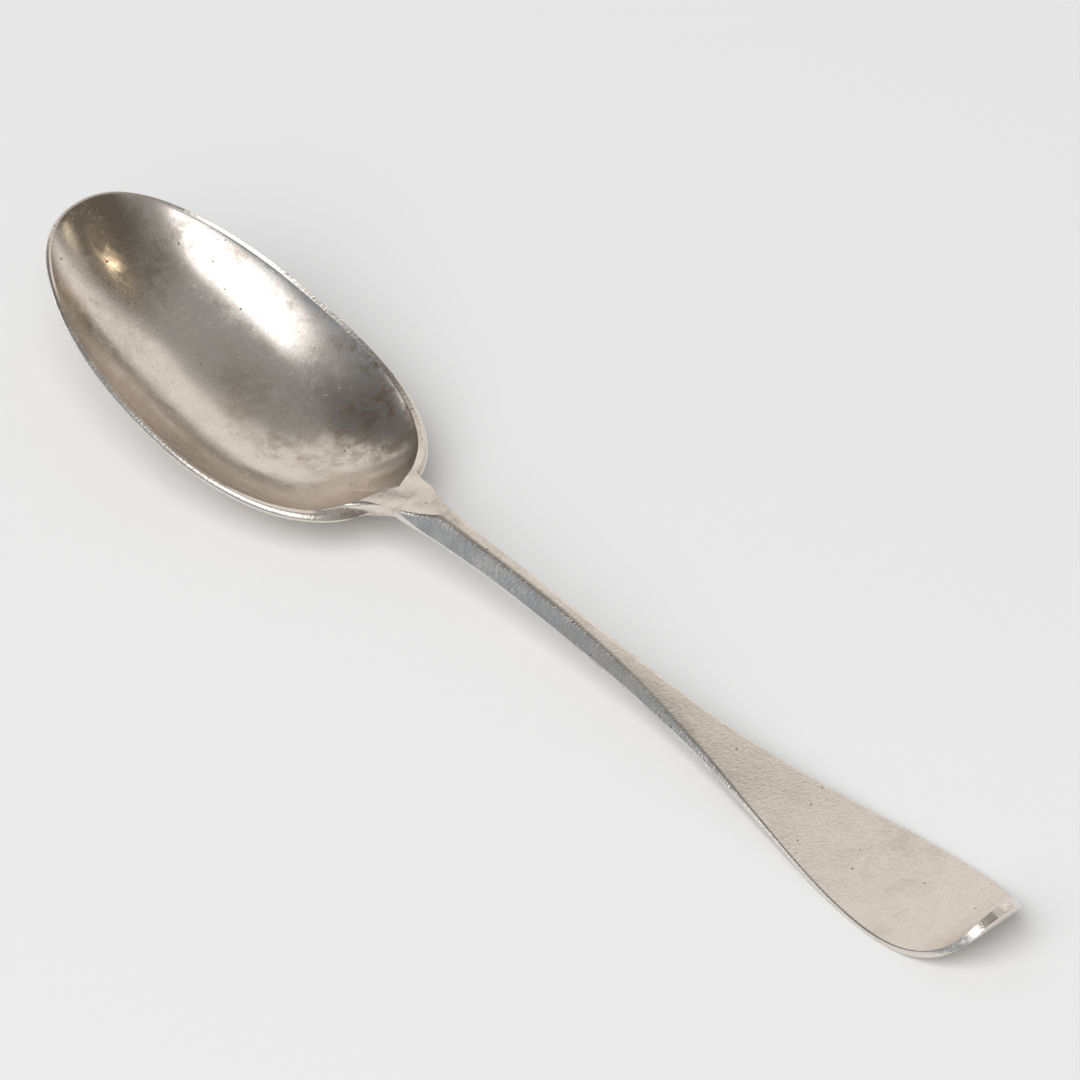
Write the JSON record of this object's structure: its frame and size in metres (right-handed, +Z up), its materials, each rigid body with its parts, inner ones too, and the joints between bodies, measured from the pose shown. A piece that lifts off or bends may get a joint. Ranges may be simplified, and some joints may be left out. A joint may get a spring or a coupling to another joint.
{
  "type": "teaspoon",
  "caption": "Old silver teaspoon with a deep egg-shaped bowl, a slim arched stem and a broad flat handle end with a short turned-up lip.",
  "frame": {"origin": "under the middle of the spoon's length, on the surface that it rests on", "axes": "+X along the spoon from the bowl to the handle's end, +Y across the bowl, +Z up out of the bowl's hollow"},
  "size_m": [0.128, 0.0258, 0.0159],
  "materials": {
    "bowl_silver": "worn polish with grey tarnish",
    "handle_silver": "satin, fine scratches",
    "solder": "dull"
  },
  "bodies": {
    "root": {"bowl": "bowl_silver", "solder_seam": "solder", "heel_drop": "bowl_silver", "stem": "handle_silver"}
  },
  "joints": []
}
